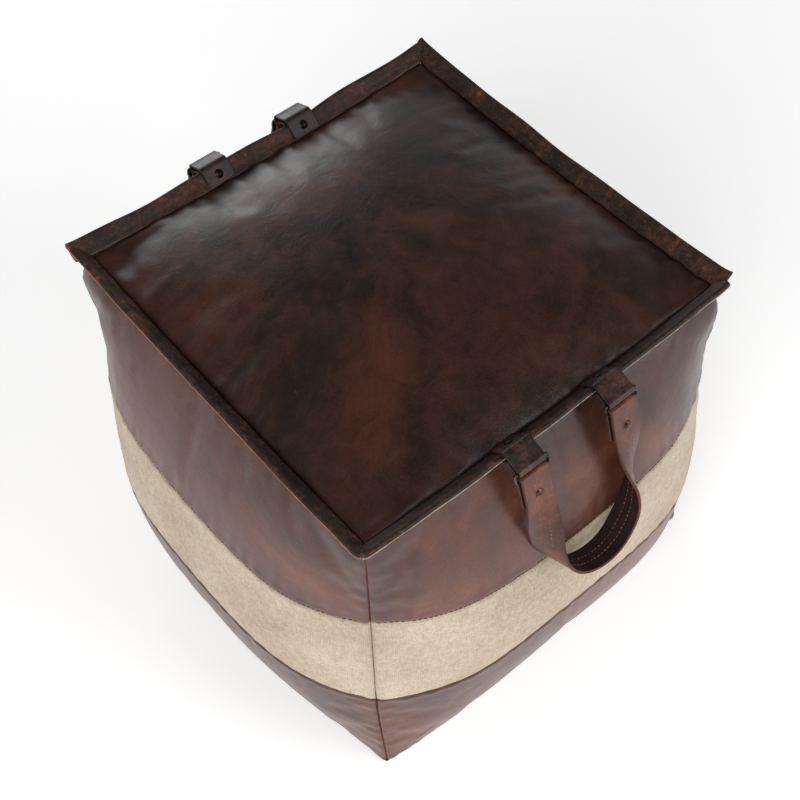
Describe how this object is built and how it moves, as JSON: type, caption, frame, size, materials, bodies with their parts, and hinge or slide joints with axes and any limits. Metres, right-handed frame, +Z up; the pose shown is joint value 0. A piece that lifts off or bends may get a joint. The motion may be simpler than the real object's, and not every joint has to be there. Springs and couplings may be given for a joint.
{
  "type": "moroccan leather pouf",
  "caption": "Square stuffed leather floor pouf with a canvas band, a bound top seam, hanging strap handles on metal rings and a zip in its base.",
  "frame": {"origin": "on the floor under the middle of the base", "axes": "+Z up, X along the two sides that carry handles, Y through them from the front handle (-Y) to the back handle (+Y)"},
  "size_m": [0.5326, 0.5848, 0.435],
  "materials": {
    "leather": "satin",
    "dark_leather": "satin",
    "strap_leather": "satin",
    "canvas": "matte",
    "lining_cloth": "matte",
    "stuffing": "matte",
    "zip_tape": "matte",
    "zip_coil": "satin",
    "antique_brass": "satin",
    "dark_rivet": "satin",
    "copper_rivet": "satin",
    "ring_wire": "satin"
  },
  "bodies": {
    "body": {"top_panel": "leather", "upper_panel_front": "leather", "canvas_band_front": "canvas", "lower_panel_front": "leather", "upper_panel_right": "leather", "canvas_band_right": "canvas", "lower_panel_right": "leather", "upper_panel_back": "leather", "canvas_band_back": "canvas", "lower_panel_back": "leather", "upper_panel_left": "leather", "canvas_band_left": "canvas", "lower_panel_left": "leather", "binding_front_left": "dark_leather", "binding_back": "dark_leather", "binding_right": "dark_leather", "inner_bag": "lining_cloth", "stuffing": "stuffing", "base_panel_front": "leather", "base_panel_back": "leather", "zip_tapes": "zip_tape", "zip_chain": "zip_coil", "zip_stops": "antique_brass", "tab_front_left": "dark_leather", "tab_front_right": "dark_leather", "tab_rivets_front": "dark_rivet", "tab_back_left": "dark_leather", "tab_back_right": "dark_leather", "tab_rivets_back": "dark_rivet"},
    "zip_slider": {"zip_slider": "antique_brass"},
    "zip_pull": {"zip_pull": "antique_brass"},
    "rings_front": {"rings_front": "ring_wire"},
    "handle_front": {"strap_front": "strap_leather", "strap_rivets_front": "copper_rivet"},
    "rings_back": {"rings_back": "ring_wire"},
    "handle_back": {"strap_back": "strap_leather", "strap_rivets_back": "copper_rivet"}
  },
  "joints": [
    {"name": "rings_front_swing", "type": "hinge", "parent": "body", "child": "rings_front", "pos_m": [0, -0.232, 0.404], "axis": [-1, 0, 0], "range_deg": [0, 105]},
    {"name": "handle_front_swing", "type": "hinge", "parent": "rings_front", "child": "handle_front", "pos_m": [0, -0.23492, 0.39444], "axis": [-1, 0, 0], "range_deg": [0, 60]},
    {"name": "rings_back_swing", "type": "hinge", "parent": "body", "child": "rings_back", "pos_m": [0, 0.232, 0.404], "axis": [1, 0, 0], "range_deg": [0, 105]},
    {"name": "handle_back_swing", "type": "hinge", "parent": "rings_back", "child": "handle_back", "pos_m": [0, 0.23492, 0.39444], "axis": [1, 0, 0], "range_deg": [0, 60]},
    {"name": "zip_travel", "type": "slide", "parent": "body", "child": "zip_slider", "axis": [1, 0, 0], "range_m": [0, 0.268]},
    {"name": "zip_pull_swing", "type": "hinge", "parent": "zip_slider", "child": "zip_pull", "pos_m": [-0.136, 0, 0.0012], "axis": [0, 1, 0], "range_deg": [0, 120]}
  ]
}
